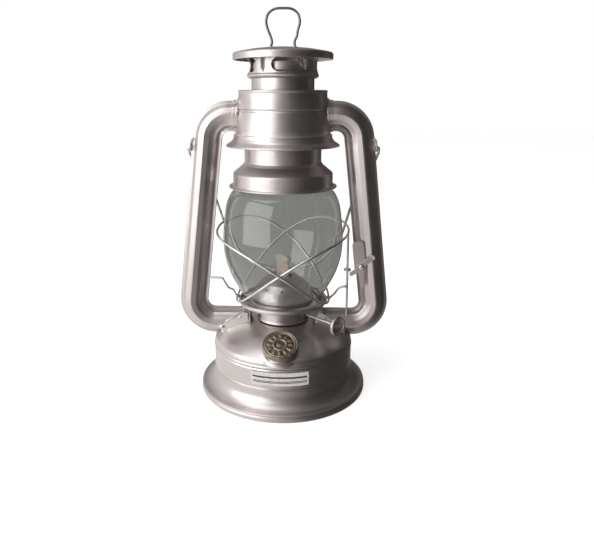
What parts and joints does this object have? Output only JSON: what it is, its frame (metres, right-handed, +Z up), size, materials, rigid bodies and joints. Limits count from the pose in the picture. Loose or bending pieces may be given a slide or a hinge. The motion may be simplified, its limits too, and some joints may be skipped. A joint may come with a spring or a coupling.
{
  "type": "oil lamp",
  "caption": "Tubular hurricane oil lantern with a glass globe in a wire guard, side air tubes, a lift lever, a wick knob, a vented chimney and a wire bail.",
  "frame": {"origin": "centre of the base, on the surface that the lantern stands on", "axes": "+Z up along the lantern's axis, -Y towards the filler cap, +X towards the lift lever"},
  "size_m": [0.1526, 0.1218, 0.2709],
  "materials": {
    "silver_paint": "semi-gloss aluminium paint",
    "wire_steel": "bright drawn wire",
    "bare_tin": "dull tinplate",
    "spring_steel": "oiled spring wire",
    "aged_brass": "darkened, satin",
    "brass": "satin",
    "black_rubber": "matte",
    "cotton": "woven cotton",
    "clear_glass": "clear, polished"
  },
  "bodies": {
    "frame": {"fount_base": "silver_paint", "fount_bottom": "bare_tin", "fount_dome": "silver_paint", "fount_collar": "brass", "nameplate": "silver_paint", "filler_neck": "brass", "burner_body": "silver_paint", "burner_base": "brass", "wick_tube": "brass", "burner_cone": "silver_paint", "right_tube": "silver_paint", "left_tube": "silver_paint", "right_saddle": "silver_paint", "left_saddle": "silver_paint", "hood_drum": "silver_paint", "hood_skirt": "silver_paint", "chimney_spring": "spring_steel", "lever_bracket": "silver_paint", "lever_rivet": "wire_steel", "right_bail_ear": "silver_paint", "left_bail_ear": "silver_paint"},
    "globe_carriage": {"globe": "clear_glass", "globe_plate": "silver_paint", "guard_loop_left": "wire_steel", "guard_loop_right": "wire_steel", "left_arm": "wire_steel", "right_arm": "wire_steel", "lift_rod": "wire_steel", "rod_stop": "wire_steel"},
    "chimney": {"chimney_tube": "silver_paint", "globe_bell": "silver_paint", "vent_ring": "silver_paint", "canopy": "silver_paint", "ring_handle": "wire_steel"},
    "bail": {"bail": "wire_steel"},
    "lift_lever": {"lift_lever": "silver_paint"},
    "wick_drive": {"wick_shaft": "wire_steel", "wick_sprocket": "brass", "wick_knob": "silver_paint"},
    "wick": {"wick": "cotton"},
    "filler_seal": {"filler_gasket": "black_rubber"},
    "filler_cap": {"filler_cap": "aged_brass"}
  },
  "joints": [
    {"name": "globe_lift", "type": "slide", "parent": "frame", "child": "globe_carriage", "axis": [0, 0, 1], "range_m": [0, 0.0086]},
    {"name": "lever_turn", "type": "hinge", "parent": "frame", "child": "lift_lever", "pos_m": [0.05642, -0.00895, 0.09322], "axis": [0, 1, 0], "range_deg": [0, 56]},
    {"name": "chimney_pull", "type": "slide", "parent": "globe_carriage", "child": "chimney", "axis": [0, 0, 1], "range_m": [0, 0.0084], "stiffness_N_per_m": 60, "springref_m": -0.02, "deforming": ["chimney_spring"]},
    {"name": "bail_swing", "type": "hinge", "parent": "frame", "child": "bail", "pos_m": [0, 0, 0.1776], "axis": [1, 0, 0], "range_deg": [0, 312]},
    {"name": "knob_turn", "type": "hinge", "parent": "frame", "child": "wick_drive", "pos_m": [0.00285, 0.00295, 0.0578], "axis": [-0.7193, 0.6947, 0], "range_deg": [-280, 85]},
    {"name": "wick_raise", "type": "slide", "parent": "frame", "child": "wick", "axis": [0, 0, 1], "range_m": [-0.0128, 0.0039]},
    {"name": "cap_lift", "type": "slide", "parent": "frame", "child": "filler_seal", "axis": [0, -0.4384, 0.8988], "range_m": [0, 0.018]},
    {"name": "cap_turn", "type": "hinge", "parent": "filler_seal", "child": "filler_cap", "pos_m": [0, -0.0413, 0.0444], "axis": [0, -0.4384, 0.8988], "continuous": true}
  ],
  "couplings": [
    {"joint": "lever_turn", "follows": "globe_lift", "rad_per_m": 113.6},
    {"joint": "wick_raise", "follows": "knob_turn", "m_per_rad": 0.0026}
  ]
}
